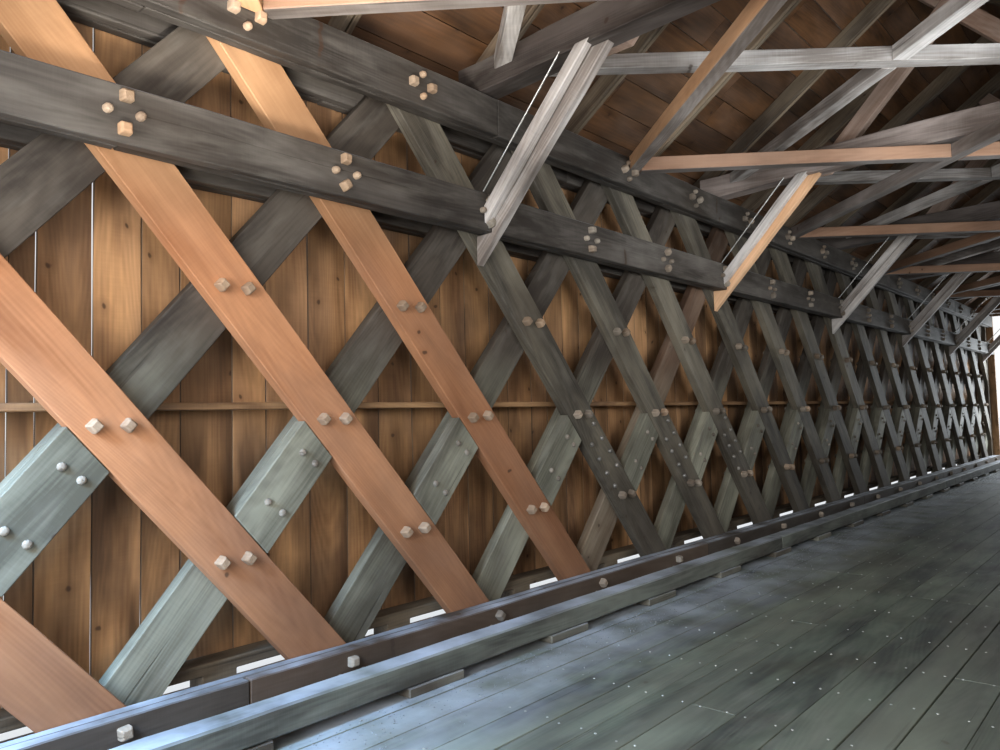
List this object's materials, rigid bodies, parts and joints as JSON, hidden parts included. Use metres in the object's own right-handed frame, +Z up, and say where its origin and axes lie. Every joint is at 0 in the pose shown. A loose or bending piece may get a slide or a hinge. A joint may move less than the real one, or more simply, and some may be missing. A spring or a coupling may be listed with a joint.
{
  "type": "lattice truss covered bridge",
  "caption": "Roofed timber road bridge carried by plank lattice side trusses with pegged crossings, knee-braced tie beams, boarded sides, plank deck and bank abutments",
  "frame": {"origin": "Centre of the footprint, on the plane that both abutments stand on", "axes": "+X along the roadway towards the end that is far in the picture, +Y across it towards the truss that is on the left in the picture, +Z up"},
  "size_m": [24.504, 6.02, 8.4782],
  "materials": {
    "abutment_stone": "matte",
    "weathered_timber": "matte",
    "inner_plank_timber": "matte",
    "outer_plank_timber": "matte",
    "chord_timber": "matte",
    "floor_timber": "matte",
    "guard_timber": "matte",
    "tie_timber": "matte",
    "new_timber": "matte",
    "roof_timber": "matte",
    "roof_covering": "matte",
    "siding_timber": "matte",
    "rod_steel": "satin"
  },
  "bodies": {
    "root": {"near_abutment": "abutment_stone", "far_abutment": "abutment_stone", "bed_timbers": "weathered_timber", "left_bottom_chords": "chord_timber", "right_bottom_chords": "chord_timber", "left_lower_secondary_chords": "chord_timber", "right_lower_secondary_chords": "chord_timber", "left_upper_secondary_chords": "chord_timber", "right_upper_secondary_chords": "chord_timber", "left_top_chords": "chord_timber", "right_top_chords": "chord_timber", "left_lattice_inner": "inner_plank_timber", "right_lattice_inner": "inner_plank_timber", "left_lattice_outer": "outer_plank_timber", "right_lattice_outer": "outer_plank_timber", "lattice_packings": "outer_plank_timber", "end_posts": "weathered_timber", "floor_beams": "weathered_timber", "floor_stringers": "weathered_timber", "floor_sleepers": "weathered_timber", "deck": "floor_timber", "wheel_guards": "guard_timber", "guard_blocks": "guard_timber", "tie_beams": "tie_timber", "left_knee_braces": "tie_timber", "right_knee_braces": "tie_timber", "brace_rods": "rod_steel", "old_overhead_bracing": "weathered_timber", "new_overhead_bracing": "new_timber", "roof_plates": "weathered_timber", "left_scissor_braces": "new_timber", "right_scissor_braces": "new_timber", "left_rafters": "roof_timber", "right_rafters": "roof_timber", "left_roof_boards": "roof_timber", "right_roof_boards": "roof_timber", "left_roof_covering": "roof_covering", "right_roof_covering": "roof_covering", "left_siding": "siding_timber", "right_siding": "siding_timber", "siding_rails": "weathered_timber", "skirts": "siding_timber", "near_gable": "siding_timber", "far_gable": "siding_timber", "portal_cheeks": "siding_timber"}
  },
  "joints": []
}
